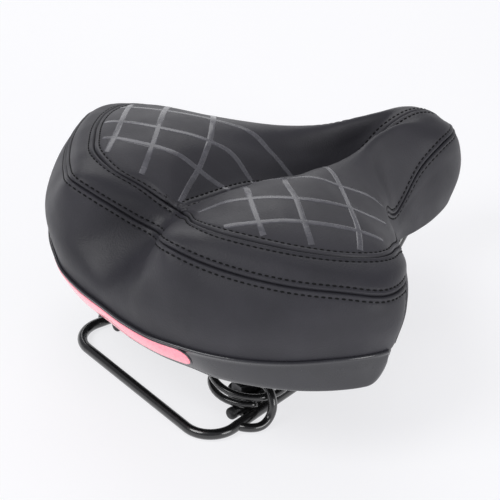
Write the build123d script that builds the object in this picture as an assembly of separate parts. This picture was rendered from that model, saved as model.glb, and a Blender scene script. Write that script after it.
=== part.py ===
from build123d import *

import math
import os

# A sprung bicycle saddle with twin rear coil springs, a rear wire loop and seat-clamp rails.
# +Z is up, the nose points along +Y and the rider's right is +X.
# Everything is modelled about the middle of the rear crossbar's centre line. When it is
# written it moves, so that the origin is under the middle of the footprint.

# ---- driving dimensions, millimetres ----

DECK_Z = -3.0               # the surface that the wires stand on

RAIL_R = 3.5                # seat-clamp rail wire
RAIL_Z = DECK_Z + RAIL_R
RAIL_HALF_GAUGE = 22.0      # rails are 44 mm apart, centre to centre
CLAMP_START_Y = 90.0        # straight stretch of rail that a seat clamp holds
CLAMP_END_Y = 147.0
RAIL_END = (54.0, 27.5)     # cut rear end of the right rail
PIVOT_Y = 218.0             # nose crosspiece of the rails, which the seat rocks on
PIVOT_Z = 40.0
PIVOT_CORNER_X = 14.5
PIVOT_CLEARANCE = 0.06      # radial, in the nose clip

LOOP_R = 3.0                # rear loop wire
LOOP_CORNER_X = 66.6        # corner of the loop's centre lines
LOOP_TOE_IN = 7.3           # degrees that each leg of the loop leans inward
LOOP_FRONT_Y = 72.0
LOOP_CORNER_R = 17.0

SPRING_X = 43.0
SPRING_Y = 49.0
SPRING_WIRE_R = 2.1
SPRING_R = 22.3             # coil's mean radius
SPRING_FOOT_Z = 6.2         # centre of the lowest turn's wire
SPRING_HEAD_Z = 46.5        # centre of the highest turn's wire
SPRING_TURNS = 4
CLOSED_PITCH = 4.6          # rise of the first and the last turn

CUP_R = 27.0
CUP_Z = 43.5                # lower edge of the upper spring cup
HOOK_R = 2.5
NUT_FLATS = 15.0            # across the flats
STUD_R = 4.0
CLIP_HALF_WIDTH = 8.0

COVER_T = 2.0
FOAM_DEPTH = 3.2            # foam surface, inside the outside of the cover
BASE_T = 4.0
BASE_WALL = 2.2
BASE_INSET = 2.8            # base's edge, inside the cover's lower edge
STRIP_T = 3.5
STRIP_END = 8.75            # station where the bumper strip and the rear skirt stop
REFLECTOR_T = 1.2
REFLECTOR_END = 3.3         # station

# Seat surface: seven lines drawn from the rear centre round the right wing to the nose tip.
# Each line has one (x, y, z) point at each of 20 stations.
RIM_LOW = [(0, -12, 49), (20, -12, 49), (40, -9, 49), (58, -3.5, 49), (75, 2, 49), (92, 12.5, 49),
           (108, 26, 49), (121, 42, 49), (129, 58, 49), (128, 73, 48)]
RIM = [(0, -20, 66), (20, -19.8, 66), (40, -17, 66), (56, -11, 66), (72, -3.5, 66), (88, 7.5, 66),
       (103, 22.5, 66), (115, 40, 66), (124.5, 60, 65), (125, 77, 62), (113, 93, 58), (89, 110, 54),
       (65, 129, 50), (45, 150, 46), (31.5, 172, 42), (26.5, 195, 39), (24.5, 211, 40), (20, 228, 43),
       (10.5, 240, 46), (0, 243, 47)]
FULL = [(0, -12, 78), (20, -15, 84), (37, -18, 90), (55, -14, 89.5), (73, -5, 88.5), (90, 7, 87),
        (106, 22.5, 86), (119, 40.5, 85), (129.5, 60.5, 84), (130, 78, 82), (116.5, 95, 78),
        (92.5, 112, 73), (67, 130, 67), (46.5, 150.5, 60), (33, 172, 51), (28.5, 195, 54),
        (27.5, 215, 58), (23, 231.5, 60), (12, 244.5, 62), (0, 248, 63)]
LOWER_SEAM = [(0, 18, 98), (12, 12, 102), (26, 0, 113), (42, -7, 120), (61.5, 2.5, 114.5),
              (80.5, 15, 110.5), (99, 30, 107.5), (115.5, 48, 105), (127.5, 65.5, 101.5), (124.5, 83, 97),
              (111, 99.5, 91.5), (87, 117, 86.5), (64, 133.5, 80.5), (45, 151, 73), (32.5, 172, 60),
              (28, 195, 69), (27.3, 215, 76), (22.5, 231, 77), (12, 242.5, 76), (0, 246, 75)]
UPPER_SEAM = [(0, 33, 106), (9, 30, 108.5), (20, 25, 114), (35, 17, 121), (54, 18, 124),
              (70.5, 28.5, 122), (87, 42.5, 119), (100.5, 59, 115.5), (108, 76, 111.5),
              (107, 91, 107), (97.5, 104, 102), (80, 118, 98.5), (59, 133, 94.5), (41, 151.5, 87.5),
              (30.5, 171, 70), (26.5, 195, 83), (25.5, 213, 92), (20.5, 227, 91), (10, 236.5, 88),
              (0, 239, 86.5)]
CREST = [(0, 34, 106), (6, 32, 108), (14, 32, 112.5), (27, 30, 118.5), (42, 34.5, 124), (52, 43, 126),
         (58, 55, 126.5), (58, 68, 125), (54, 81, 123), (47, 94.5, 120), (38, 107, 116.5),
         (32, 121, 112.5), (26, 135, 109.5), (19.5, 152, 107.5), (14, 170, 107), (11, 192, 106.5),
         (13, 209, 102), (11, 222, 98), (5.5, 231.5, 92), (0, 237.5, 88)]
FLANK = [(0, 35, 106), (3, 35, 107), (8, 36.5, 110), (15, 39, 115), (22, 45.5, 120), (26, 54, 122),
         (28, 62, 122), (27, 72, 120.5), (25, 84, 117), (21, 96, 112), (17, 109, 106), (15, 122, 101),
         (12, 136, 96), (10, 152, 93), (7, 170, 95), (5, 190, 101.5), (6, 207, 103), (5, 220, 99),
         (3, 230, 92.8), (0, 236.5, 88.8)]
CENTRE = [(0, 36, 106), (0, 39, 106), (0, 43, 106), (0, 48, 105.5), (0, 54, 105), (0, 61, 104.5),
          (0, 68, 104), (0, 76, 103), (0, 86, 101), (0, 98, 97), (0, 110, 93), (0, 122, 89),
          (0, 136, 85.5), (0, 152, 84.5), (0, 170, 89), (0, 190, 100), (0, 206, 103), (0, 219, 99.5),
          (0, 229, 93.5), (0, 235.5, 89.5)]
SURFACE = [RIM, FULL, LOWER_SEAM, UPPER_SEAM, CREST, FLANK, CENTRE]
STRIP = [RIM_LOW, RIM]

BASE_TOP = [(-20, 66), (80, 66), (110, 64.5), (150, 58), (180, 53), (250, 53)]   # (y, z)
BASE_EDGE = [(-20, 51), (60, 51), (110, 49), (150, 46), (180, 44.5), (250, 44.5)]
TIP = len(RIM) - 1          # station at the nose tip
TILT = [(0, 0), (1, 10), (2, 45), (3, 70), (4, 90), (6, 90)]   # (line, degrees below level)
LOWER_V = 2                 # the lower seam's place in SURFACE
UPPER_V = 3
CENTRE_V = 6
SEAM_GAP = 0.012            # half of the gap between cover panels, in lines


# ---- curves and surfaces ----

def along(points, value):
    """Smooth curve through (position, value) points: cubic pieces with shared slopes."""
    last = len(points) - 1
    position = min(max(value, points[0][0]), points[last][0])
    i = 0
    while i < last - 1 and position > points[i + 1][0]:
        i += 1
    slopes = []
    for j in (i, i + 1):
        low = points[max(j - 1, 0)]
        high = points[min(j + 1, last)]
        slopes.append((high[1] - low[1]) / (high[0] - low[0]))
    span = points[i + 1][0] - points[i][0]
    t = (position - points[i][0]) / span
    return (
        points[i][1] * (2 * t**3 - 3 * t**2 + 1)
        + points[i + 1][1] * (3 * t**2 - 2 * t**3)
        + slopes[0] * span * (t**3 - 2 * t**2 + t)
        + slopes[1] * span * (t**3 - t**2)
    )


def at_station(line, u):
    """Point on a line at station u. Negative stations, and those past the tip, are the left side."""
    if u > TIP:
        u -= 2 * TIP
    before = (-line[1][0], line[1][1], line[1][2])
    points = [(i - 1, p) for i, p in enumerate([before] + line)]
    if len(line) > TIP:
        points.append((TIP + 1, (-line[TIP - 1][0], line[TIP - 1][1], line[TIP - 1][2])))
    x, y, z = [along([(i, p[axis]) for i, p in points], abs(u)) for axis in range(3)]
    return Vector(math.copysign(x, u), y, z)


def surface_point(lines, u, v):
    """Point at station u, v lines in from the first line."""
    row = [(j, at_station(line, u)) for j, line in enumerate(lines)]
    if len(lines) > CENTRE_V:
        mirror = row[CENTRE_V - 1][1]
        row.append((CENTRE_V + 1, Vector(-mirror.X, mirror.Y, mirror.Z)))
    return Vector(
        along([(j, p.X) for j, p in row], v),
        along([(j, p.Y) for j, p in row], v),
        along([(j, p.Z) for j, p in row], v),
    )


def offset_point(lines, u, v, depth):
    """Point that lies inside the surface: sideways from it near the rim, straight down on top."""
    run = at_station(RIM, u + 0.05) - at_station(RIM, u - 0.05)
    sideways = Vector(-run.Y, run.X).normalized()
    tilt = math.radians(along(TILT, v)) if lines is SURFACE else 0
    inward = sideways * math.cos(tilt) - Vector(0, 0, math.sin(tilt))
    return surface_point(lines, u, v) + inward * depth


def spread(start, end, count):
    return [start + (end - start) * i / (count - 1) for i in range(count)]


def point_grid(lines, us, vs, depth):
    return [[offset_point(lines, u, v, depth) for v in vs] for u in us]


def ends(edge):
    return edge.position_at(0), edge.position_at(1)


def matching_edge(face, edge):
    """The face's edge whose ends are nearest to those of a given edge."""
    a, b = ends(edge)

    def misfit(other):
        c, d = ends(other)
        return min((a - c).length + (b - d).length, (a - d).length + (b - c).length)

    return min(face.edges(), key=misfit)


def skins_and_sides(outer_points, inner_points, tol=0.05):
    """Two skins with the same layout of points, then the four sides that join them."""
    outer = Face.make_surface_from_array_of_points(outer_points, tol)
    inner = Face.make_surface_from_array_of_points(inner_points, tol)
    faces = [outer, inner]
    corners = [(0, 0), (0, -1), (-1, -1), (-1, 0)]
    for i in range(4):
        a, b = corners[i], corners[(i + 1) % 4]
        edges = []
        for skin, points in ((outer, outer_points), (inner, inner_points)):
            rail = Edge.make_line(points[a[0]][a[1]], points[b[0]][b[1]])
            edges.append(matching_edge(skin, rail))
        faces.append(Face.make_surface_from_curves(edges[0], edges[1]))
    return faces


def solid_between(outer_points, inner_points):
    return Solid(Shell(skins_and_sides(outer_points, inner_points)))


def sheet(lines, us, vs, outer_depth, inner_depth):
    return solid_between(
        point_grid(lines, us, vs, outer_depth),
        point_grid(lines, us, vs, inner_depth),
    )


def wire_sweep(points, radii, wire_r):
    path = FilletPolyline(*points, radius=radii)
    section = Plane(path @ 0, z_dir=path % 0) * Circle(wire_r)
    return sweep(section, path=path)


def mirrored(points):
    """Points that continue to the left side and come back to the start."""
    return points + [(-p[0],) + tuple(p[1:]) for p in reversed(points)]


def both_sides(name, solid):
    """Right and left copies of a part that is modelled on the right."""
    solids[name + "_right"] = solid
    solids[name + "_left"] = solid.mirror(Plane.YZ)


solids = {}

# ---- wires that stand on the deck ----

rail_right = [
    (RAIL_END[0], RAIL_END[1], RAIL_Z),
    (53.0, 55.0, RAIL_Z),
    (RAIL_HALF_GAUGE, 81.0, RAIL_Z),
    (RAIL_HALF_GAUGE, 158.0, RAIL_Z),
    (17.0, 196.0, 38.0),
    (PIVOT_CORNER_X, PIVOT_Y, PIVOT_Z),
]
rail_bends = [18, 18, 25, 20, 6]
rail_wire = wire_sweep(mirrored(rail_right), rail_bends + rail_bends[::-1], RAIL_R)
solids["rail_wire"] = rail_wire

loop_front_x = LOOP_CORNER_X - LOOP_FRONT_Y * math.tan(math.radians(LOOP_TOE_IN))
loop_right = [(loop_front_x, LOOP_FRONT_Y, 0), (LOOP_CORNER_X, 0, 0)]
bumper_loop = wire_sweep(mirrored(loop_right), [LOOP_CORNER_R, LOOP_CORNER_R], LOOP_R)
solids["bumper_loop"] = bumper_loop

# Weld beads that join each leg of the loop to the rail beside it.
weld = Pos(57.6, 37, 0.2) * Box(4, 14, 3)
both_sides("loop_weld", weld - rail_wire - bumper_loop)

# Domed plugs on the cut ends of the rails.
plug_face = Plane(
    origin=rail_right[0],
    z_dir=Vector(*rail_right[0]) - Vector(*rail_right[1]),
)
plug = Pos(0, 0, 1.75) * Cylinder(RAIL_R, 3.5)
plug = fillet(plug.edges().group_by(Axis.Z)[-1], 2.0)
both_sides("rail_plug", plug_face * plug)


# ---- springs and what holds their feet ----

def coil_height(turn):
    """Height of the coil's centre line: a nearly flat turn at each end, open turns between."""
    open_turns = SPRING_TURNS - 2
    open_rise = SPRING_HEAD_Z - SPRING_FOOT_Z - 2 * CLOSED_PITCH
    if turn < 1:
        return SPRING_FOOT_Z + CLOSED_PITCH * turn**2
    if turn > SPRING_TURNS - 1:
        return SPRING_HEAD_Z - CLOSED_PITCH * (SPRING_TURNS - turn)**2
    t = (turn - 1) / open_turns
    return SPRING_FOOT_Z + CLOSED_PITCH + open_rise * t


coil_points = []
for i in range(SPRING_TURNS * 12 + 1):
    angle = math.radians(270 - 30 * i)
    coil_points.append((
        SPRING_X + SPRING_R * math.cos(angle),
        SPRING_Y + SPRING_R * math.sin(angle),
        coil_height(i / 12),
    ))
coil_path = Spline(*coil_points)
coil_section = Plane(coil_path @ 0, z_dir=coil_path % 0) * Circle(SPRING_WIRE_R)
both_sides("spring", sweep(coil_section, path=coil_path, is_frenet=True))

# A small plate beside each rail holds the bolt in the middle of the spring, which rests on the rail.
FLOOR_T = 2.0
PLATE_R = 11.0
floor_top_z = DECK_Z + FLOOR_T
nut_x = 41.5
nut_y = 47.5
plate = Cylinder(PLATE_R, FLOOR_T) + Pos(PLATE_R / 2 + 2, 0, 0) * Box(PLATE_R + 4, 18, FLOOR_T)
plate = Pos(nut_x, nut_y, DECK_Z + FLOOR_T / 2) * plate
plate -= rail_wire
plate -= Pos(53.5 + 50 - 1.5, nut_y, 0) * Box(100, 60, 20)
plate = max(plate.solids(), key=lambda piece: piece.volume)
plate -= Pos(nut_x, nut_y, DECK_Z) * Cylinder(STUD_R, 20)
both_sides("spring_dish", plate)

stud = Pos(nut_x, nut_y, DECK_Z + 6.3) * Cylinder(STUD_R, 11.4)
stud = chamfer(stud.edges().group_by(Axis.Z)[-1], 0.8)
both_sides("dish_stud", stud)

nut = extrude(RegularPolygon(NUT_FLATS / 2, 6, major_radius=False), 8)
nut = chamfer(nut.edges().group_by(Axis.Z)[-1], 0.6)
nut = Pos(nut_x, nut_y, floor_top_z) * (nut + Pos(0, 0, 0.7) * Cylinder(8.2, 1.4))
both_sides("dish_nut", nut - stud)

# Each hook goes over the lowest turn of the coil, and down and round to the loop's leg.
hook_top_z = SPRING_FOOT_Z + CLOSED_PITCH + SPRING_WIRE_R + HOOK_R - 1.3
hook_deck_z = DECK_Z + HOOK_R
hook_path = Spline(
    (59.5, 45, hook_top_z),
    (66.0, 43.8, hook_top_z),
    (70.6, 42, 9.0),
    (71.8, 39, 2.6),
    (72.0, 33.5, hook_deck_z),
    (70.0, 27.5, hook_deck_z),
    (65.5, 23.5, hook_deck_z),
)
hook = sweep(Plane(hook_path @ 0, z_dir=hook_path % 0) * Circle(HOOK_R), path=hook_path)
hook -= bumper_loop
hook = max(hook.solids(), key=lambda piece: piece.volume)
both_sides("spring_hook", hook)


# ---- seat base ----

def level(profile, y):
    """Height of a straight-sided (y, z) profile."""
    for (y0, z0), (y1, z1) in zip(profile, profile[1:]):
        if y <= y1:
            break
    return z0 + (z1 - z0) * (y - y0) / (y1 - y0)


def base_outline(extra):
    """Base's outline in plan, inset from the cover's lower edge."""
    line = RIM_LOW[:6] + RIM[6:]
    right = []
    for i, (x, y, z) in enumerate(line):
        before = line[i - 1] if i > 0 else (-line[1][0], line[1][1])
        after = line[i + 1] if i < TIP else (-line[TIP - 1][0], line[TIP - 1][1])
        inset = BASE_INSET + extra
        if i < STRIP_END + 1:
            inset += STRIP_T - COVER_T + 0.3
        run = Vector(after[0] - before[0], after[1] - before[1]).normalized()
        right.append((x - run.Y * inset, y + run.X * inset))
    left = [(-x, y) for x, y in reversed(right[1:-1])]
    return make_face(Spline(*right, *left, periodic=True))


def side_profile(top, bottom):
    """Slab across the whole width, between two (y, z) profiles."""
    outline = [(y, z) for y, z in top] + [(y, z) for y, z in reversed(bottom)]
    face = make_face(Plane.YZ * Polyline(*outline, close=True))
    return extrude(face, 150, both=True)


def lowered(profile, drop):
    return [(y, z - drop) for y, z in profile]


block = Pos(0, 0, 30) * extrude(base_outline(0), 50) & side_profile(BASE_TOP, BASE_EDGE)
hollow = Pos(0, 0, 30) * extrude(base_outline(BASE_WALL), 50)
cavity = hollow & side_profile(lowered(BASE_TOP, BASE_T), lowered(BASE_EDGE, 10))
ribs = Part()
for x in (-82, -12, 12, 82):
    length = 190 if abs(x) < 20 else 70
    ribs += Pos(x, 5 + length / 2, 50) * Box(2, length, 60)
for y in (88, 118, 150):
    ribs += Pos(0, y, 50) * Box(240, 2, 60)
ribs &= side_profile(lowered(BASE_TOP, BASE_T - 0.5), lowered(BASE_TOP, BASE_T + 4.5))
ribs &= hollow
base = block - cavity + ribs

base_under_z = BASE_TOP[0][1] - BASE_T
cup_height = base_under_z - CUP_Z
cup_at = Pos(SPRING_X, SPRING_Y, CUP_Z)
cup = Pos(0, 0, cup_height / 2) * Cylinder(CUP_R, cup_height)
cup = fillet(cup.edges().group_by(Axis.Z)[0], 1.5)
groove = SPRING_HEAD_Z + SPRING_WIRE_R - CUP_Z
groove_r = SPRING_WIRE_R + 0.5
cup -= Cylinder(SPRING_R + groove_r, 2 * groove) - Cylinder(SPRING_R - groove_r, 2 * groove)
cup -= Cylinder(12, 13)
cup_screw = Pos(0, 0, 5) * Cylinder(5, 3) + Pos(0, 0, 12.5) * Cylinder(2.4, 16)
cup_screw -= Pos(0, 0, 3.5) * Box(1.2, 6, 1.6)
cup_screw = cup_at * cup_screw
both_sides("spring_cup", cup_at * cup - cup_screw)
both_sides("cup_screw", cup_screw)
base -= cup_screw
base -= cup_screw.mirror(Plane.YZ)

nose_under_z = BASE_TOP[-1][1] - BASE_T
clip = Pos(0, PIVOT_Y, PIVOT_Z) * Rot(0, 90, 0) * Cylinder(7, 2 * CLIP_HALF_WIDTH)
clip_height = nose_under_z - PIVOT_Z
clip += Pos(0, PIVOT_Y, PIVOT_Z + clip_height / 2) * Box(2 * CLIP_HALF_WIDTH, 14, clip_height)
clip += Pos(0, PIVOT_Y, nose_under_z - 1.5) * Box(2 * CLIP_HALF_WIDTH, 32, 3)
bore = Rot(0, 90, 0) * Cylinder(RAIL_R + PIVOT_CLEARANCE, 60)
clip -= Pos(0, PIVOT_Y, PIVOT_Z) * bore
nose_screws = Part()
for y in (PIVOT_Y - 11.5, PIVOT_Y + 11.5):
    screw = Pos(0, 0, -1.2) * Cylinder(3.6, 2.4) + Pos(0, 0, 3) * Cylinder(1.8, 6)
    nose_screws += Pos(0, y, nose_under_z - 3) * screw
solids["nose_clip"] = clip - nose_screws
solids["nose_screws"] = nose_screws
solids["base_shell"] = base - nose_screws


# ---- bumper strip and reflector ----

strip_us = spread(-STRIP_END, STRIP_END, 43)
solids["bumper_strip"] = sheet(STRIP, strip_us, spread(0, 0.99, 5), 0, STRIP_T)

reflector_skins = []
for depth in (-REFLECTOR_T, -0.05):
    skin = []
    for u in spread(-REFLECTOR_END, REFLECTOR_END, 41):
        t = max(0, (abs(u) - REFLECTOR_END + 0.5) / 0.5)
        half = 0.33 * (1 - 0.7 * t * t)
        skin.append([offset_point(STRIP, u, v, depth) for v in spread(0.53 - half, 0.53 + half, 5)])
    reflector_skins.append(skin)
solids["reflector"] = solid_between(*reflector_skins)


# ---- foam and cover ----

def foam_start(u):
    """Where the foam's side rises out of the base, in lines."""
    v = 0
    while True:
        p = offset_point(SURFACE, u, v, FOAM_DEPTH)
        if p.Z > level(BASE_TOP, p.Y) + 1.5:
            return v
        v += 0.01


def foam_faces():
    """Faces of the foam's right half, without those at the middle."""
    top_skin = []
    bottom_skin = []
    us = spread(0.02, TIP - 0.02, 45)
    for u in us:
        top_row = []
        for v in spread(foam_start(u), CENTRE_V, 16):
            p = offset_point(SURFACE, u, v, FOAM_DEPTH)
            on_middle = u == us[0] or u == us[-1] or v == CENTRE_V
            top_row.append(Vector(0 if on_middle else p.X, p.Y, p.Z))
        edge, middle = top_row[0], top_row[-1]
        bottom_row = []
        for t in spread(0, 1, 5):
            x = edge.X + (middle.X - edge.X) * t
            y = edge.Y + (middle.Y - edge.Y) * t
            bottom_row.append(Vector(x, y, level(BASE_TOP, y) + 0.2))
        top_skin.append(top_row)
        bottom_skin.append(bottom_row)
    faces = skins_and_sides(top_skin, bottom_skin, tol=0.1)
    return [faces[0], faces[1], faces[-1]]


foam_right = foam_faces()
solids["foam_pad"] = Solid(Shell(foam_right + [face.mirror(Plane.YZ) for face in foam_right]))

skirt_vs = spread(0.03, LOWER_V - SEAM_GAP, 7)
band_vs = spread(LOWER_V + SEAM_GAP, UPPER_V - SEAM_GAP, 4)
nose_vs = spread(0, UPPER_V - SEAM_GAP, 9)
top_vs = spread(UPPER_V + SEAM_GAP, CENTRE_V - 0.02, 10)
nose_us = spread(STRIP_END + 0.03, 2 * TIP - STRIP_END - 0.03, 53)
solids["cover_skirt"] = sheet(SURFACE, strip_us, skirt_vs, 0, COVER_T)
solids["cover_band"] = sheet(SURFACE, strip_us, band_vs, 0, COVER_T)
solids["cover_nose"] = sheet(SURFACE, nose_us, nose_vs, 0, COVER_T)
both_sides("cover_top", sheet(SURFACE, spread(0.3, TIP - 0.15, 53), top_vs, 0, COVER_T))


# ---- write the parts ----

boxes = [solid.bounding_box() for solid in solids.values()]
middle_y = (min(box.min.Y for box in boxes) + max(box.max.Y for box in boxes)) / 2
to_origin = Pos(0, -middle_y, -min(box.min.Z for box in boxes))
os.makedirs("parts", exist_ok=True)
for name, solid in solids.items():
    export_step(to_origin * solid, f"parts/{name}.step")
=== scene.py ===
import math

import bpy
import numpy as np
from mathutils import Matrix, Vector
from mathutils.bvhtree import BVHTree


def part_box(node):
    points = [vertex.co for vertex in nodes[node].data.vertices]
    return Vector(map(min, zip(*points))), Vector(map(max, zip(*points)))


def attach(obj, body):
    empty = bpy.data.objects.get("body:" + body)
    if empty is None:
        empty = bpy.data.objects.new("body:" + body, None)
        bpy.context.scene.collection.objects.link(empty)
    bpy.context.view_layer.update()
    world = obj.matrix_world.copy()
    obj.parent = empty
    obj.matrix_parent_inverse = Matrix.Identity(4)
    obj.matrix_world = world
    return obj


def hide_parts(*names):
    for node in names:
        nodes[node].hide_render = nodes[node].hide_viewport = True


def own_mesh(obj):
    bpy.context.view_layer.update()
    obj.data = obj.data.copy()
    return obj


# Visual model of a sprung bicycle saddle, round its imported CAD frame. Lines of the seat are in
# millimetres about the middle of the rear crossbar, like the CAD source; row() moves them.

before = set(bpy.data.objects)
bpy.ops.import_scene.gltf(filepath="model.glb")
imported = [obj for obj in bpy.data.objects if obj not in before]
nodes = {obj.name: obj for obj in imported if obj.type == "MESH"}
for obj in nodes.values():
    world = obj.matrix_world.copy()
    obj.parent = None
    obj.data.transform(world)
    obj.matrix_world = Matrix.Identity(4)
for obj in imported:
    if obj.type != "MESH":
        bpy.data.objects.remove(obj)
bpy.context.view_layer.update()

clip_low, clip_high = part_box("nose_clip")
PIVOT_Y = 218.0             # middle of the nose clip, from the middle of the rear crossbar
DECK_Z = -3.0               # ground under the rear crossbar
SHIFT_Y = (clip_low.y + clip_high.y) * 500 - PIVOT_Y    # 500: half the sum, in millimetres

# Lines from the rear centre round the right wing to the nose tip, 20 stations each (RIM_LOW: the
# strip's lower edge, 10). They follow the CAD source, but the stretched cover bridges the rear
# notch and rounds the nose a little more than the foam.
RIM_LOW = [(0, -12, 49), (20, -12, 49), (40, -9, 49), (58, -3.5, 49), (75, 2, 49), (92, 12.5, 49),
           (108, 26, 49), (121, 42, 49), (129, 58, 49), (128, 73, 48)]
RIM = [(0, -20, 66), (20, -19.8, 66), (40, -17, 66), (56, -11, 66), (72, -3.5, 66), (88, 7.5, 66),
       (103, 22.5, 66), (115, 40, 66), (124.5, 60, 65), (125, 77, 62), (113, 93, 58), (89, 110, 54),
       (65, 129, 50), (45, 150, 46), (31.5, 172, 42), (26.5, 195, 39), (24.5, 211, 40), (20, 228, 43),
       (10.5, 240, 46), (0, 243, 47)]
FULL = [(0, -16, 80), (20, -17, 85), (37, -18, 90), (55, -14, 89.5), (73, -5, 88.5), (90, 7, 87),
        (106, 22.5, 86), (119, 40.5, 85), (129.5, 60.5, 84), (130, 78, 82), (116.5, 95, 78),
        (92.5, 112, 73), (67, 130, 67), (46.5, 150.5, 60), (33, 172, 51), (28.5, 195, 54),
        (27.5, 215, 58), (23, 231.5, 60), (12, 244.5, 62), (0, 248, 63)]
LOWER_SEAM = [(0, 18, 98), (12, 12, 102), (26, 0, 113), (42, -7, 120), (61.5, 2.5, 114.5),
              (80.5, 15, 110.5), (99, 30, 107.5), (115.5, 48, 105), (127.5, 65.5, 101.5),
              (124.5, 83, 97), (111, 99.5, 91.5), (87, 117, 86.5), (64, 133.5, 80.5), (45, 151, 73),
              (32.5, 172, 60),
              (28, 195, 69), (27.3, 215, 76), (22.5, 231, 77), (12, 242.5, 76), (0, 246, 75)]
UPPER_SEAM = [(0, 33, 106), (9, 30, 108.5), (20, 25, 114), (35, 17, 121), (54, 18, 124),
              (70.5, 28.5, 122), (87, 42.5, 119), (100.5, 59, 115.5), (108, 76, 111.5),
              (107, 91, 107), (97.5, 104, 102), (80, 118, 98.5), (59, 133, 94.5), (41, 151.5, 87.5),
              (30.5, 171, 70), (26.5, 195, 83), (25.5, 213, 92), (20.5, 227.5, 92.5),
              (10, 237.5, 89.5), (0, 239, 86.5)]
CREST = [(0, 34, 106), (6, 32, 108), (14, 32, 112.5), (27, 30, 118.5), (42, 34.5, 124), (52, 43, 126),
         (58, 55, 126.5), (58, 68, 125), (54, 81, 123), (47, 94.5, 120), (38, 107, 116.5),
         (32, 121, 112.5), (26, 135, 109.5), (19.5, 152, 107.5), (14, 170, 107), (11, 192, 105.5),
         (13, 209, 102), (11, 223, 99.3), (5.5, 232.8, 94), (0, 237.5, 88)]
FLANK = [(0, 35, 106), (3, 35, 107), (8, 36.5, 110), (15, 39, 115), (22, 45.5, 120), (26, 54, 122),
         (28, 62, 122), (27, 72, 120.5), (25, 84, 117), (21, 96, 112), (17, 109, 106), (15, 122, 101),
         (12, 136, 96), (10, 152, 93), (7, 170, 95), (5, 190, 101.5), (6, 207.5, 104),
         (5, 221, 101.8), (3, 231.5, 96), (0, 236.5, 88.8)]
CENTRE = [(0, 36, 106), (0, 39, 106), (0, 43, 106), (0, 48, 105.5), (0, 54, 105), (0, 61, 104.5),
          (0, 68, 104), (0, 76, 103), (0, 86, 101), (0, 98, 97), (0, 110, 93), (0, 122, 89),
          (0, 136, 85.5), (0, 152, 84.5), (0, 170, 89), (0, 190, 101), (0, 207, 104.6),
          (0, 220.5, 102.6), (0, 231, 96.8), (0, 235.5, 89.5)]
SURFACE = [RIM, FULL, LOWER_SEAM, UPPER_SEAM, CREST, FLANK, CENTRE]

TIP = len(RIM) - 1
STRIP_END = 8.75            # station where the bumper strip stops
SKIRT_END = 9.5             # station where the rear skirt stops
STATION_MM = 18             # one station is about this long beside the skirt's upright seam
LOWER_V, UPPER_V, CENTRE_V = 2, 3, 6     # lines of SURFACE that the seams follow
STITCH_AWAY = 3.3           # from a seam to the stitches beside it, mm
STITCH_PITCH = 3.4          # from one stitch to the next, mm
STEPS = [0, 0.3, 0.65, 1.1, 1.6, 2.2, 2.8, STITCH_AWAY, 3.9, 5.2]    # rows beside a seam, mm from it
COLUMNS_PER_STATION = 8
SKIRT_ROWS, BAND_ROWS, TOP_ROWS = 16, 5, 30    # rows between those beside the seams
COVER_MM = 1.2              # thickness of the cover


def row(points):
    """Points in metres, in the row frame."""
    return (np.asarray(points, float) + (0, SHIFT_Y, -DECK_Z)) / 1000


# ---- seat surface ----

def weights(f):
    """Shares of two points and of their slopes in a smooth curve, at fraction f between them."""
    return 2 * f**3 - 3 * f**2 + 1, 3 * f**2 - 2 * f**3, f**3 - 2 * f**2 + f, f**3 - f**2


def smooth(points, t):
    """Smooth curve through evenly spaced points, at places t."""
    points = np.asarray(points, float)
    slopes = np.gradient(points, axis=0)
    i = np.clip(np.floor(t).astype(int), 0, len(points) - 2)
    a, b, c, d = weights(np.clip(t - i, 0, 1)[..., None])
    return points[i] * a + points[i + 1] * b + slopes[i] * c + slopes[i + 1] * d


def at_station(line, u):
    """Points of a line at stations u. The mirrored neighbours keep it smooth across the middle."""
    def flip(p):
        return (-p[0], p[1], p[2])
    ends = [flip(line[-2])] if len(line) > TIP else []
    return smooth([flip(line[1])] + line + ends, np.asarray(u, float) + 1)


def surface(u, v):
    """Points of the seat surface at stations u and lines v."""
    u, v = np.broadcast_arrays(np.asarray(u, float), np.asarray(v, float))
    lines = np.stack([at_station(line, u) for line in SURFACE])
    lines = np.concatenate([lines, lines[-2:-1] * (-1, 1, 1)])
    slopes = np.gradient(lines, axis=0)
    i = np.clip(np.floor(v).astype(int), 0, len(lines) - 2)
    a, b, c, d = weights(np.clip(v - i, 0, 1)[..., None])

    def pick(values, k):
        return np.take_along_axis(values, k[None, ..., None].repeat(3, -1), 0)[0]
    return pick(lines, i) * a + pick(lines, i + 1) * b + pick(slopes, i) * c + pick(slopes, i + 1) * d


def unit(vectors):
    """Vectors of length 1; straight up where there is no length."""
    size = np.linalg.norm(vectors, axis=-1, keepdims=True)
    up = np.zeros_like(vectors)
    up[..., 2] = 1
    return np.where(size > 1e-5, vectors / np.maximum(size, 1e-9), up)


def normals(u, v):
    """Outward normals of the seat surface, without a sideways part in the middle plane."""
    e = 0.03
    across = surface(u + e, v) - surface(u - e, v)
    to_middle = surface(u, v + e) - surface(u, np.maximum(v - e, 0))
    n = np.cross(across, to_middle)
    middle = (np.asarray(v) > CENTRE_V - 1e-6) | (np.abs(u) < 1e-6) | (np.abs(u - TIP) < 1e-6)
    n[..., 0] = np.where(middle, 0, n[..., 0])
    return unit(n)


def arcs(u):
    """For each station: lines v, and the run of the surface from the rim to them, in mm."""
    v = np.linspace(0, CENTRE_V, 241)
    points = surface(np.asarray(u, float)[None, :], v[:, None])
    steps = np.linalg.norm(np.diff(points, axis=0), axis=-1)
    return v, np.concatenate([np.zeros((1, len(u))), np.cumsum(steps, axis=0)])


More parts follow.
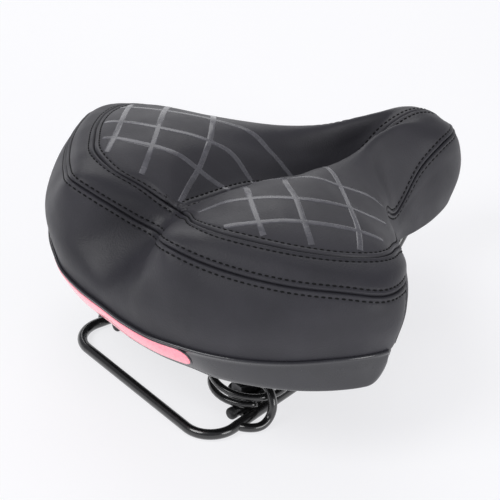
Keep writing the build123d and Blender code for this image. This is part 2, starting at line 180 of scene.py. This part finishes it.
def seam_shape(away):
    """Height of the cover beside a seam, mm: a sharp groove between two soft lips, which the
    stitches pinch, and a roll up to the padding."""
    groove = -1.1 * np.exp(-((away / 0.55) ** 2))
    lip = 0.35 * np.exp(-(((away - 1.6) / 0.7) ** 2))
    pinch = -0.4 * np.exp(-(((away - STITCH_AWAY) / 0.55) ** 2))
    past = away - STITCH_AWAY
    roll = -0.7 * np.where(past > 0, np.exp(-((past / 5.0) ** 2)), 1)
    return groove + lip + pinch + roll


def station_length(u, v):
    """Length of one station on the surface, mm."""
    return np.linalg.norm(surface(u + 0.05, v) - surface(u - 0.05, v), axis=-1) / 0.1


def nearest_seam(u, v, run, seams):
    """Distance to the nearest seam, mm."""
    low, high, middle = seams
    pitch = station_length(u, v)
    past = np.maximum(u - SKIRT_END, 0) * pitch
    over = np.maximum(run - low, 0)
    lower = np.hypot(run - low, past)
    upright = np.hypot(np.abs(u - SKIRT_END) * pitch, over)
    return np.minimum.reduce([lower, upright, np.abs(run - high), np.abs(middle - run)])


def upper_v(u):
    """Place of the upper seam between the lines: further out than its own line, ahead of the wings."""
    return UPPER_V - 0.62 * np.exp(-((np.abs(u - 12.4) / 1.9) ** 4))


def seam_runs(u, v, run):
    """Run of the surface from the rim to the lower, the upper and the middle seam, mm."""
    places = (np.full(len(u), LOWER_V), upper_v(u), np.full(len(u), CENTRE_V))
    return [np.array([np.interp(place[i], v, run[:, i]) for i in range(len(u))])
            for place in places]


def columns():
    """Stations of the grid, with closer ones on both sides of the skirt's upright seam."""
    near = [s / STATION_MM for s in STEPS]
    even = [i / COLUMNS_PER_STATION for i in range(COLUMNS_PER_STATION * TIP + 1)]
    places = [u for u in even if abs(u - SKIRT_END) > near[-1] + 0.04]
    places += [SKIRT_END + s for s in near] + [SKIRT_END - s for s in near[1:]]
    return np.array(sorted(places))


def rows_between(start, end, middle, seam_at_start, seam_at_end):
    """Runs of the rows of a panel. A narrow panel squeezes the rows beside its seams."""
    most = 0.44 * (end - start)
    squeeze = np.minimum(1, most / STEPS[-1])
    low = [start + s * squeeze for s in STEPS] if seam_at_start else [start]
    high = [end - s * squeeze for s in reversed(STEPS)] if seam_at_end else [end]
    inner = [low[-1] + (high[0] - low[-1]) * (k + 1) / (middle + 1) for k in range(middle)]
    return low + inner + high


U = columns()
v_table, run_table = arcs(U)
runs = seam_runs(U, v_table, run_table)
zero = np.zeros(len(U))
lower_rows = rows_between(zero, runs[0], SKIRT_ROWS, False, True)
band_rows = rows_between(runs[0], runs[1], BAND_ROWS, True, True)[1:]
top_rows = rows_between(runs[1], runs[2], TOP_ROWS, True, True)[1:]
RUN = np.array(lower_rows + band_rows + top_rows)
V = np.array([[np.interp(RUN[j, i], run_table[:, i], v_table) for i in range(len(U))]
              for j in range(len(RUN))])
V[len(lower_rows) - 1] = LOWER_V
V[len(lower_rows) + len(band_rows) - 1] = upper_v(U)
V[-1] = CENTRE_V
LOWER_ROW = len(lower_rows) - 1
UPPER_ROW = LOWER_ROW + len(band_rows)
AWAY = nearest_seam(np.broadcast_to(U, V.shape), V, RUN, runs)
fade = np.clip(np.minimum(runs[2] - runs[1], 30) / 30, 0.25, 1)    # flatter where the top is narrow
HEIGHT = seam_shape(AWAY) * np.where(RUN > runs[1], fade, 1)
MIDDLE_DEPTH = 0.4          # the middle seam is flatter than the others
HEIGHT = np.where(runs[2] - RUN < AWAY + 1e-6, MIDDLE_DEPTH * HEIGHT, HEIGHT)
POINTS = surface(np.broadcast_to(U, V.shape), V)
POINTS = POINTS + normals(np.broadcast_to(U, V.shape), V) * HEIGHT[..., None]
POINTS[-1, :, 0] = 0
POINTS[:, 0, 0] = 0
POINTS[:, -1, 0] = 0

# The cover's lower edge turns in under the base, and reaches further in under the nose.
rim_run = at_station(RIM, U + 0.05) - at_station(RIM, U - 0.05)
inward = unit(np.stack([-rim_run[:, 1], rim_run[:, 0], zero], -1))
reach = 2.2 + 5.5 * np.clip((U - 13.5) / 1.5, 0, 1)
hem = [POINTS[0] + inward * (reach * a)[:, None] - (0, 0, b)
       for a, b in ((1.0, 0.2), (0.6, 0.9), (0.18, 0.7))]
HEM = len(hem)
GRID = np.concatenate([np.array(hem), POINTS])
FLIP = np.array((-1, 1, 1))


def shown(obj, body, material):
    """The object, with its material, riding its body."""
    obj.data.materials.clear()
    obj.data.materials.append(material)
    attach(obj, body)
    return obj


def mesh_object(name, points, faces, flat=False):
    """Mesh object from points in metres, in the row frame."""
    mesh = bpy.data.meshes.new(name)
    mesh.from_pydata([tuple(p) for p in points], [], faces)
    mesh.update()
    if not flat:
        mesh.polygons.foreach_set("use_smooth", [True] * len(mesh.polygons))
    obj = bpy.data.objects.new(name, mesh)
    bpy.context.scene.collection.objects.link(obj)
    return obj


def panel(name, wanted, sides):
    """Cover panel made of the grid's wanted cells, on the right (1) and left (-1) sides."""
    index, points, faces = {}, [], []

    def corner(j, i, side):
        x, y, z = GRID[j, i]
        key = (j, i, 0 if abs(x) < 1e-6 else side)
        if key not in index:
            index[key] = len(points)
            points.append((x * side, y, z))
        return index[key]
    for side in sides:
        for j in range(len(GRID) - 1):
            for i in range(len(U) - 1):
                if wanted(j - HEM, (U[i] + U[i + 1]) / 2):
                    ring = [corner(j, i, side), corner(j, i + 1, side),
                            corner(j + 1, i + 1, side), corner(j + 1, i, side)]
                    if side < 0:
                        ring.reverse()
                    ring = [p for k, p in enumerate(ring) if p != ring[k - 1]]
                    if len(ring) > 2:
                        faces.append(ring)
    obj = mesh_object(name, row(points), faces)
    solid = obj.modifiers.new("thickness", "SOLIDIFY")
    solid.thickness = COVER_MM / 1000
    solid.offset = -1
    solid.use_even_offset = False
    return obj


# ---- materials ----

def surface_material(name, colour, roughness, **sockets):
    """Material with its nodes, links and shader."""
    material = bpy.data.materials.new(name)
    material.use_nodes = True
    shader = material.node_tree.nodes["Principled BSDF"]
    shader.inputs["Base Color"].default_value = (*colour, 1)
    shader.inputs["Roughness"].default_value = roughness
    for key, value in sockets.items():
        shader.inputs[key.replace("_", " ")].default_value = value
    return material, material.node_tree.nodes, material.node_tree.links, shader


def object_place(nodes_):
    return nodes_.new("ShaderNodeTexCoord").outputs["Object"]


def noise(nodes_, links, scale, detail=3.0, rough=0.5):
    texture = nodes_.new("ShaderNodeTexNoise")
    texture.inputs["Scale"].default_value = scale
    texture.inputs["Detail"].default_value = detail
    texture.inputs["Roughness"].default_value = rough
    links.new(object_place(nodes_), texture.inputs["Vector"])
    return texture.outputs["Fac"]


def ramp(nodes_, links, fac, stops):
    node = nodes_.new("ShaderNodeValToRGB")
    node.color_ramp.elements[0].position = stops[0][0]
    node.color_ramp.elements[1].position = stops[-1][0]
    for position, _ in stops[1:-1]:
        node.color_ramp.elements.new(position)
    for element, (_, colour) in zip(node.color_ramp.elements, stops):
        element.color = (*colour, 1)
    links.new(fac, node.inputs["Fac"])
    return node.outputs["Color"]


def spread_over(nodes_, links, fac, low, high):
    """Noise spread over low to high."""
    node = nodes_.new("ShaderNodeMapRange")
    node.inputs["From Min"].default_value = 0.3
    node.inputs["From Max"].default_value = 0.7
    node.inputs["To Min"].default_value = low
    node.inputs["To Max"].default_value = high
    links.new(fac, node.inputs["Value"])
    return node.outputs["Result"]


def bump(nodes_, links, shader, height, strength, distance, under=None):
    node = nodes_.new("ShaderNodeBump")
    node.inputs["Strength"].default_value = strength
    node.inputs["Distance"].default_value = distance
    links.new(height, node.inputs["Height"])
    if under is not None:
        links.new(under, node.inputs["Normal"])
    links.new(node.outputs["Normal"], shader.inputs["Normal"])
    return node.outputs["Normal"]


def voronoi(nodes_, links, scale, feature="SMOOTH_F1"):
    texture = nodes_.new("ShaderNodeTexVoronoi")
    texture.feature = feature
    texture.inputs["Scale"].default_value = scale
    links.new(object_place(nodes_), texture.inputs["Vector"])
    return texture.outputs["Distance"]


def leather(name, dark, light, rough_low, rough_high, grain):
    material, n, l, shader = surface_material(name, dark, rough_low, Specular_IOR_Level=0.45)
    l.new(ramp(n, l, noise(n, l, 28, 5, 0.6), [(0.3, dark), (0.7, light)]), shader.inputs["Base Color"])
    l.new(spread_over(n, l, noise(n, l, 60, 4), rough_low, rough_high), shader.inputs["Roughness"])
    creases = bump(n, l, shader, noise(n, l, 90, 4), 0.10, 0.0006)
    pebbles = bump(n, l, shader, voronoi(n, l, 1150), grain, 0.00022, creases)
    bump(n, l, shader, noise(n, l, 3200, 2), grain * 0.6, 0.00008, pebbles)
    return material


# Leather-like vinyl: broad colour drift, shallow creases, then two sizes of grain.
vinyl = leather("matte_vinyl", (0.023, 0.0225, 0.028), (0.033, 0.032, 0.040), 0.46, 0.58, 0.5)
# Painted light: the top panels get a lighter copy of the same vinyl, because the tops catch more of the
# lamps' light.
vinyl_painted_lighter_top = leather("matte_vinyl_painted_lighter_top", (0.031, 0.030, 0.036), (0.043, 0.042, 0.050), 0.44, 0.56, 0.4)

# Painted reflection: the pressed bands get a lighter base colour than the vinyl, standing in for the
# bright light their gloss reflects. Their low roughness and the band pattern are real.
pressed, n, l, shader = surface_material("pressed_vinyl_painted_sheen", (0.10, 0.099, 0.112), 0.26,
                                         Specular_IOR_Level=0.75)
l.new(ramp(n, l, noise(n, l, 120), [(0.3, (0.085, 0.084, 0.095)), (0.7, (0.115, 0.114, 0.129))]),
      shader.inputs["Base Color"])
l.new(spread_over(n, l, noise(n, l, 240, 4), 0.2, 0.32), shader.inputs["Roughness"])
bump(n, l, shader, noise(n, l, 500), 0.12, 0.0002)

thread, n, l, shader = surface_material("thread", (0.0035, 0.0035, 0.004), 0.75,
                                        Specular_IOR_Level=0.25)
l.new(spread_over(n, l, noise(n, l, 900), 0.6, 0.85), shader.inputs["Roughness"])
bump(n, l, shader, noise(n, l, 5000, 1), 0.5, 0.0001)

gloss, n, l, shader = surface_material("gloss_plastic", (0.022, 0.022, 0.027), 0.2,
                                       Coat_Weight=0.7, Coat_Roughness=0.08)
l.new(ramp(n, l, noise(n, l, 50), [(0.3, (0.019, 0.019, 0.024)), (0.7, (0.028, 0.028, 0.035))]),
      shader.inputs["Base Color"])
l.new(spread_over(n, l, noise(n, l, 180, 5), 0.16, 0.3), shader.inputs["Roughness"])
bump(n, l, shader, noise(n, l, 130, 2), 0.05, 0.0003)

# Painted glow: the reflector lens emits light though it is no lamp, standing in for the light it sends
# back. Its red colour and faceted pattern are real.
lens, n, l, shader = surface_material("reflector_lens", (0.95, 0.32, 0.40), 0.25,
                                      Coat_Weight=0.6, Coat_Roughness=0.1,
                                      Emission_Color=(1, 0.26, 0.34, 1), Emission_Strength=0.3)
facets = voronoi(n, l, 520, "F1")
l.new(ramp(n, l, facets, [(0.0, (0.98, 0.36, 0.44)), (0.6, (0.94, 0.30, 0.37)),
                          (1.0, (0.88, 0.22, 0.29))]), shader.inputs["Base Color"])
bump(n, l, shader, facets, 0.2, 0.0003)

wire, n, l, shader = surface_material("black_enamel", (0.006, 0.006, 0.0065), 0.22,
                                      Coat_Weight=1.0, Coat_Roughness=0.04)
l.new(spread_over(n, l, noise(n, l, 300, 4), 0.16, 0.34), shader.inputs["Roughness"])
bump(n, l, shader, noise(n, l, 420, 2), 0.10, 0.0002)

moulded, n, l, shader = surface_material("moulded_plastic", (0.014, 0.014, 0.015), 0.5)
l.new(ramp(n, l, noise(n, l, 40), [(0.3, (0.011, 0.011, 0.012)), (0.7, (0.018, 0.018, 0.020))]),
      shader.inputs["Base Color"])
l.new(spread_over(n, l, noise(n, l, 300, 4), 0.38, 0.58), shader.inputs["Roughness"])
bump(n, l, shader, noise(n, l, 1400, 2), 0.2, 0.0001)

steel, n, l, shader = surface_material("dark_steel", (0.07, 0.07, 0.075), 0.38, Metallic=1.0)
l.new(ramp(n, l, noise(n, l, 220, 5), [(0.3, (0.045, 0.045, 0.048)), (0.7, (0.11, 0.11, 0.115))]),
      shader.inputs["Base Color"])
l.new(spread_over(n, l, noise(n, l, 700, 4), 0.28, 0.55), shader.inputs["Roughness"])
bump(n, l, shader, noise(n, l, 1500, 3), 0.2, 0.0001)

# ---- cover ----

skirt = panel("skirt_panel", lambda j, u: j < LOWER_ROW and u < SKIRT_END, (1, -1))
side = panel("side_panel", lambda j, u: j < UPPER_ROW and (j >= LOWER_ROW or u > SKIRT_END), (1, -1))
top_right = panel("top_panel_right", lambda j, u: j >= UPPER_ROW, (1,))
top_left = panel("top_panel_left", lambda j, u: j >= UPPER_ROW, (-1,))
for piece, material in ((skirt, vinyl), (side, vinyl), (top_right, vinyl_painted_lighter_top), (top_left, vinyl_painted_lighter_top)):
    shown(piece, "seat", material)
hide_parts("cover_skirt", "foam_pad")
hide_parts("cover_band", "cover_nose")
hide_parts("cover_top_right")
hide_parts("cover_top_left")


def seam_path(kind, offset, start, end):
    """Points and normals along a line beside a seam: kind is a line number or 'upright'."""
    if kind == "upright":
        v = np.linspace(start, end, 80)
        u = SKIRT_END + offset / station_length(SKIRT_END + 0 * v, v)
    else:
        u = np.arange(start, end, 0.04)
        v_run, run = arcs(u)
        seam = upper_v(u) if kind == UPPER_V else np.full(len(u), kind)
        v = np.array([np.interp(np.interp(seam[i], v_run, run[:, i]) + offset, run[:, i], v_run)
                      for i in range(len(u))])
    n = normals(u, v)
    depth = MIDDLE_DEPTH if kind == CENTRE_V else 1
    return surface(u, v) + n * depth * seam_shape(np.full(u.shape, abs(offset)))[..., None], n


def stitches(path, n):
    """(middle, along, up) of each stitch on a path."""
    run = np.concatenate([[0], np.cumsum(np.linalg.norm(np.diff(path, axis=0), axis=-1))])
    count = int(run[-1] / STITCH_PITCH)
    out = []
    for k in range(count):
        s = (k + 0.5) * run[-1] / count
        p = np.array([np.interp(s, run, path[:, a]) for a in range(3)])
        q = np.array([np.interp(s + 0.5, run, path[:, a]) for a in range(3)])
        o = np.array([np.interp(s - 0.5, run, path[:, a]) for a in range(3)])
        up = np.array([np.interp(s, run, n[:, a]) for a in range(3)])
        along = unit(q - o)
        up = unit(up - along * up.dot(along))
        out.append((p, along, up))
    return out


def stitch_mesh(name, places_):
    """Short round threads, sunk at both ends. The profile is along, height and radius, mm."""
    profile = [(-1.2, -0.25, 0.3), (-0.8, 0.12, 0.44), (0, 0.2, 0.48), (0.8, 0.12, 0.44),
               (1.2, -0.25, 0.3)]
    points, faces = [], []
    for middle, along, up in places_:
        across = np.cross(up, along)
        first = len(points)
        for a, h, r in profile:
            for k in range(6):
                t = k * math.pi / 3
                points.append(middle + along * a + up * (h + 0.8 * r * math.sin(t))
                              + across * r * math.cos(t))
        for ring in range(len(profile) - 1):
            for k in range(6):
                a = first + ring * 6 + k
                b = first + ring * 6 + (k + 1) % 6
                faces.append((a, b, b + 6, a + 6))
        faces.append([first + k for k in reversed(range(6))])
        faces.append([first + 6 * (len(profile) - 1) + k for k in range(6)])
    return mesh_object(name, row(points), faces)


def seam_rows(name, rows_):
    """Rows of stitches on both sides of the saddle; each row is kind, offset, start and end."""
    places_ = []
    for kind, offset, start, end in rows_:
        for p, a, n_ in stitches(*seam_path(kind, offset, start, end)):
            places_ += [(p, a, n_), (p * FLIP, a * FLIP, n_ * FLIP)]
    return stitch_mesh(name, places_)


lower_stitching = seam_rows("lower_stitching", [
    (LOWER_V, -STITCH_AWAY, 0, SKIRT_END - 0.2),
    (LOWER_V, STITCH_AWAY, 0, SKIRT_END + 0.1),
    ("upright", -STITCH_AWAY, 0.1, 1.9), ("upright", STITCH_AWAY, 0.1, 2.05)])
upper_stitching = seam_rows("upper_stitching", [
    (UPPER_V, -STITCH_AWAY, 0.1, 18.9), (UPPER_V, STITCH_AWAY, 0.9, 18.2),
    (CENTRE_V, -STITCH_AWAY, 1.2, 17.6)])
for piece in (lower_stitching, upper_stitching):
    shown(piece, "seat", thread)

# ---- pressed pattern of crossing bands on both lobes ----

BAND_WIDTH = 3.1
BAND_MARGIN_M = 0.0045      # the bands stop this far from the upper seam
PRESSED = {   # side: lines of points x, y, with x away from the middle; the lobes aren't mirrored
    1: [
        [(50, 17), (63, 39), (75, 59), (90, 83), (98, 94)],
        [(22, 24), (31, 37), (44, 51), (57, 69), (71, 95), (80, 114)],
        [(12, 56), (23, 77), (35, 92), (50, 108), (59, 132)],
        [(8, 67), (28, 58), (46, 47), (63, 38), (82, 30)],
        [(5, 95), (21, 89), (41, 76), (58, 68), (74, 59), (96, 48)],
        [(10, 121), (33, 115), (52, 106), (74, 93), (90, 83), (108, 68)],
    ],
    -1: [
        [(43, 14), (57, 33), (71, 48), (87, 63), (106, 81)],
        [(18, 17), (30, 35), (39, 47), (51, 60), (68, 76), (87, 94), (96, 105)],
        [(2, 36), (9, 48), (17, 63), (28, 78), (46, 95), (64, 110), (74, 122)],
        [(0, 122), (28, 108), (46, 95), (72, 80), (95, 70), (112, 62)],
        [(0, 89), (17, 87), (28, 78), (48, 59), (71, 48), (98, 42)],
        [(-1, 71), (8, 65), (22, 55), (37, 45), (57, 33), (76, 22)],
    ],
}

top_mesh = top_right.data
top_tree = BVHTree.FromPolygons([v.co for v in top_mesh.vertices],
                                [tuple(p.vertices) for p in top_mesh.polygons])
line_u = np.linspace(0, 14, 280)
upper_line = row(surface(line_u, upper_v(line_u)))


def drop(point):
    """Place and normal on the right top panel under a row-frame point."""
    hit, n_, _, _ = top_tree.ray_cast(Vector(point) + Vector((0, 0, 0.05)), Vector((0, 0, -1)))
    return (np.array(hit), np.array(n_)) if hit else None


def band(centres):
    """Rows of points across a flat pressed band that lies on the top panel, in one or more runs."""
    half = BAND_WIDTH / 2
    profile = [(-half - 0.25, -0.2), (-half, 0.12), (-half / 2, 0.15), (0, 0.16),
               (half / 2, 0.15), (half, 0.12), (half + 0.25, -0.2)]
    strips, strip_ = [], []
    for k in range(1, len(centres) - 1):
        along = unit(centres[k + 1] - centres[k - 1])
        mid = drop(centres[k])
        near = np.linalg.norm(upper_line[:, :2] - centres[k][:2], axis=1).min()
        if mid is None or near < BAND_MARGIN_M:
            if len(strip_) > 3:
                strips.append(strip_)
            strip_ = []
            continue
        across = unit(np.cross(mid[1], along))
        ring = []
        for s, h in profile:
            found = drop(mid[0] + across * s / 1000)
            if found is None:
                found = (mid[0] + across * s / 1000, mid[1])
            ring.append(found[0] + found[1] * h / 1000)
        strip_.append(ring)
    if len(strip_) > 3:
        strips.append(strip_)
    return strips


def band_mesh(name, strips, side_):
    """Open strips, with their edges below the cover."""
    points, faces = [], []
    for strip_ in strips:
        first = len(points)
        wide = len(strip_[0])
        for ring in strip_:
            points += [p * (side_, 1, 1) for p in ring]
        for r in range(len(strip_) - 1):
            for k in range(wide - 1):
                a = first + r * wide + k
                face = (a, a + wide, a + wide + 1, a + 1)
                faces.append(face if side_ < 0 else face[::-1])
    return mesh_object(name, points, faces)


for side_, name in ((1, "pressed_bands_right"), (-1, "pressed_bands_left")):
    bands = []
    for line in PRESSED[side_]:
        above = [(x, y, 150) for x, y in line]      # higher than the seat; drop() finds the cover
        flat = smooth(above, np.linspace(0, len(line) - 1, 110))
        bands += band(row(flat))
    shown(band_mesh(name, bands, side_), "seat", pressed)

# ---- bumper strip and reflector ----

STRIP_OUT = 0.9             # from the rim lines to the strip's face, mm
STRIP_OVER = 1.2            # the strip stands this much above the upper rim line
LENS_INSET = 0.9            # width of the reflector's bezel
PILL_STATION_MM = 17        # one station is about this long at the reflector's ends
PILL_END = 3.3              # station where the reflector ends

def strip_frame(u):
    """Lower edge, way out, way up and height of the strip at stations u, both sides."""
    low = at_station(RIM_LOW, np.abs(u))
    high = at_station(RIM, np.abs(u))
    run = at_station(RIM, np.abs(u) + 0.05) - at_station(RIM, np.abs(u) - 0.05)
    out = unit(np.stack([run[:, 1], -run[:, 0], 0 * u], -1))
    height = np.linalg.norm(high - low, axis=-1)
    up = (high - low) / height[:, None]
    sign = np.stack([np.where(u < 0, -1, 1), 0 * u + 1, 0 * u + 1], -1)
    return low * sign, out * sign, up * sign, height


def lofted(name, rings):
    """Closed mesh through rings of points, in datum millimetres."""
    wide = len(rings[0])
    points = [p for ring in rings for p in ring]
    faces = []
    for r in range(len(rings) - 1):
        for k in range(wide):
            a, b = r * wide + k, r * wide + (k + 1) % wide
            faces.append((a, b, b + wide, a + wide))
    faces.append(list(reversed(range(wide))))
    faces.append([(len(rings) - 1) * wide + k for k in range(wide)])
    return mesh_object(name, row(points), faces)


def edge_loft(name, us, section):
    """Mesh along the strip; section gives (up, out) points for a station and a height."""
    low, out, up, height = strip_frame(us)
    rings = []
    for i in range(len(us)):
        outline = section(us[i], height[i] + STRIP_OVER)
        rings.append([low[i] + up[i] * a + out[i] * (b + STRIP_OUT) for a, b in outline])
    return lofted(name, rings)


def strip_section(u, height):
    """A bowed face under a raised lip. Its lower edge rises in a quarter curve at the ends."""
    t = max(0, (abs(u) - STRIP_END + 0.9) / 0.9)
    low = 0.72 * height * (1 - math.sqrt(max(0, 1 - min(t, 1) ** 2)))
    mid = (low + height) / 2
    face = [(low + 0.3, -3.3), (low, -2.2), (low + 0.1, -1.0), (low + 0.5, -0.3), (low + 1.2, 0.1),
            ((low * 2 + mid) / 3 + 0.6, 0.35), (mid, 0.5), ((height * 2 + mid) / 3 - 1.2, 0.35)]
    lip = [(height - 2.5, 0.2), (height - 2.0, 0.5), (height - 1.3, 0.8), (height - 0.6, 0.7),
           (height - 0.1, 0.2), (height, -0.6), (height - 0.1, -2.2), (height - 0.5, -3.3)]
    if low > height - 5:
        face = face[:5] + [(height - 3.0, 0.2)] * 3
    return face + lip


def pill_section(inset, proud, deep):
    """Section of a rounded bar that stands proud of the strip, for edge_loft."""
    def section(u, height):
        end = PILL_END - inset / PILL_STATION_MM
        t = min(1, max(0, (abs(u) - end + 0.42) / 0.42))
        half = (0.35 * height - inset) * math.sqrt(max(0.0004, 1 - t**2.4))
        mid = 0.54 * height
        return [(mid - half, -deep), (mid - half, proud - 0.5), (mid - half * 0.97, proud - 0.12),
                (mid - half * 0.9, proud), (mid, proud + 0.1), (mid + half * 0.9, proud),
                (mid + half * 0.97, proud - 0.12), (mid + half, proud - 0.5), (mid + half, -deep)]
    return section


strip_us = np.linspace(-STRIP_END, STRIP_END, 301)
bumper = shown(edge_loft("strip_moulding", strip_us, strip_section), "seat", gloss)
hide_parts("bumper_strip")
pill_us = np.linspace(-PILL_END, PILL_END, 241)
shown(edge_loft("reflector_bezel", pill_us, pill_section(0, 0.8, 0.4)), "seat", gloss)
lens_end = PILL_END - LENS_INSET / PILL_STATION_MM
lens_us = np.linspace(-lens_end, lens_end, 241)
lens_piece = shown(edge_loft("reflector_lens", lens_us, pill_section(LENS_INSET, 1.25, 0.2)),
                   "seat", lens)
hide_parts("reflector")

# ---- springs ----

SPRING_X, SPRING_Y, SPRING_R, SPRING_WIRE_R = 43.0, 49.0, 22.3, 2.1
FOOT_Z, HEAD_Z, TURNS, CLOSED_PITCH = 6.2, 46.5, 4, 4.6
COIL_START = -math.pi / 6    # where the wire's lower end lies, from +x
STEPS_PER_TURN = 40


def coil_height(turn):
    """Height of the wire's middle: closed first and last turns, even ones between."""
    if turn < 1:
        return FOOT_Z + CLOSED_PITCH * turn**2
    if turn > TURNS - 1:
        return HEAD_Z - CLOSED_PITCH * (TURNS - turn) ** 2
    return FOOT_Z + CLOSED_PITCH + (HEAD_Z - FOOT_Z - 2 * CLOSED_PITCH) * (turn - 1) / (TURNS - 2)


def coil(name, side_):
    rings = []
    steps = TURNS * STEPS_PER_TURN
    for i in range(steps + 1):
        t = COIL_START - i / steps * 2 * math.pi * TURNS
        way_out = np.array((math.cos(t), math.sin(t), 0))
        middle = np.array((SPRING_X, SPRING_Y, coil_height(i / STEPS_PER_TURN))) + way_out * SPRING_R
        end = min(i, steps - i)
        r = SPRING_WIRE_R * (0.72 if end == 0 else 1)
        ring = [middle + way_out * r * math.cos(k * math.pi / 8)
                + np.array((0, 0, r * math.sin(k * math.pi / 8))) for k in range(16)]
        rings.append([p * (side_, 1, 1) for p in (ring if side_ < 0 else ring[::-1])])
    return lofted(name, rings)


for side_, word in ((1, "right"), (-1, "left")):
    piece = shown(coil("coil_" + word, side_), "frame", wire)
    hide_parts("spring_" + word)
    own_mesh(piece)

# ---- CAD nodes that stay ----

FINISH = {
    "rail_wire": wire, "bumper_loop": wire, "loop_weld": wire, "spring_hook": wire,
    "rail_plug": moulded, "spring_dish": moulded, "spring_cup": moulded, "base_shell": moulded,
    "nose_clip": moulded, "dish_stud": steel, "dish_nut": steel, "cup_screw": steel,
    "nose_screws": steel,
}
for name, node in nodes.items():
    for start, material in FINISH.items():
        if name.startswith(start):
            for slot_ in node.material_slots:
                slot_.material = material

# ---- floor, light and camera ----

floor = mesh_object("floor", [(-4, -4, 0), (4, -4, 0), (4, 4, 0), (-4, 4, 0)], [(0, 1, 2, 3)], True)
pale, n, l, shader = surface_material("pale_floor", (0.30, 0.30, 0.305), 0.7, Specular_IOR_Level=0.1,
                                      Emission_Color=(0.98, 0.98, 1.0, 1), Emission_Strength=0.74)
l.new(spread_over(n, l, noise(n, l, 6), 0.65, 0.75), shader.inputs["Roughness"])
floor.data.materials.append(pale)

world = bpy.data.worlds.new("studio")
bpy.context.scene.world = world
world.use_nodes = True
n, l = world.node_tree.nodes, world.node_tree.links
split = n.new("ShaderNodeSeparateXYZ")
l.new(n.new("ShaderNodeTexCoord").outputs["Generated"], split.inputs["Vector"])
l.new(ramp(n, l, split.outputs["Z"], [(0.04, (0.96, 0.96, 0.98)), (0.3, (0.27, 0.27, 0.29))]),
      n["Background"].inputs["Color"])


def area_light(name, place_, aim, size, power):
    lamp = bpy.data.lights.new(name, "AREA")
    lamp.shape = "DISK"
    lamp.size = size
    lamp.energy = power
    obj = bpy.data.objects.new(name, lamp)
    obj.location = place_
    obj.rotation_euler = (Vector(aim) - Vector(place_)).to_track_quat("-Z", "Y").to_euler()
    bpy.context.scene.collection.objects.link(obj)


area_light("rear_top", (-0.1, -0.95, 1.15), (0, 0, 0.05), 0.8, 8)
area_light("behind", (-0.8, 0.55, 1.0), (0, 0, 0.05), 1.1, 5)
area_light("right", (1.35, 0.1, 0.5), (0, 0, 0.05), 0.7, 5)

# The camera is solved from the rear loop, the strip and the seams in the photograph.
AZIMUTH, ELEVATION, AWAY_M = math.radians(50.23), math.radians(33.08), 0.9429
target = Vector((-9.87, 92.69 + SHIFT_Y, 49.13 - DECK_Z)) / 1000
back = Vector((math.sin(AZIMUTH) * math.cos(ELEVATION), -math.cos(AZIMUTH) * math.cos(ELEVATION),
               math.sin(ELEVATION)))
camera = bpy.data.objects.new("camera", bpy.data.cameras.new("camera"))
camera.data.lens = 115.87
camera.data.sensor_width = 36
camera.data.clip_end = 50
camera.location = target + back * AWAY_M
camera.rotation_euler = (-back).to_track_quat("-Z", "Y").to_euler()
bpy.context.scene.collection.objects.link(camera)
bpy.context.scene.camera = camera
bpy.context.scene.view_settings.view_transform = "Standard"
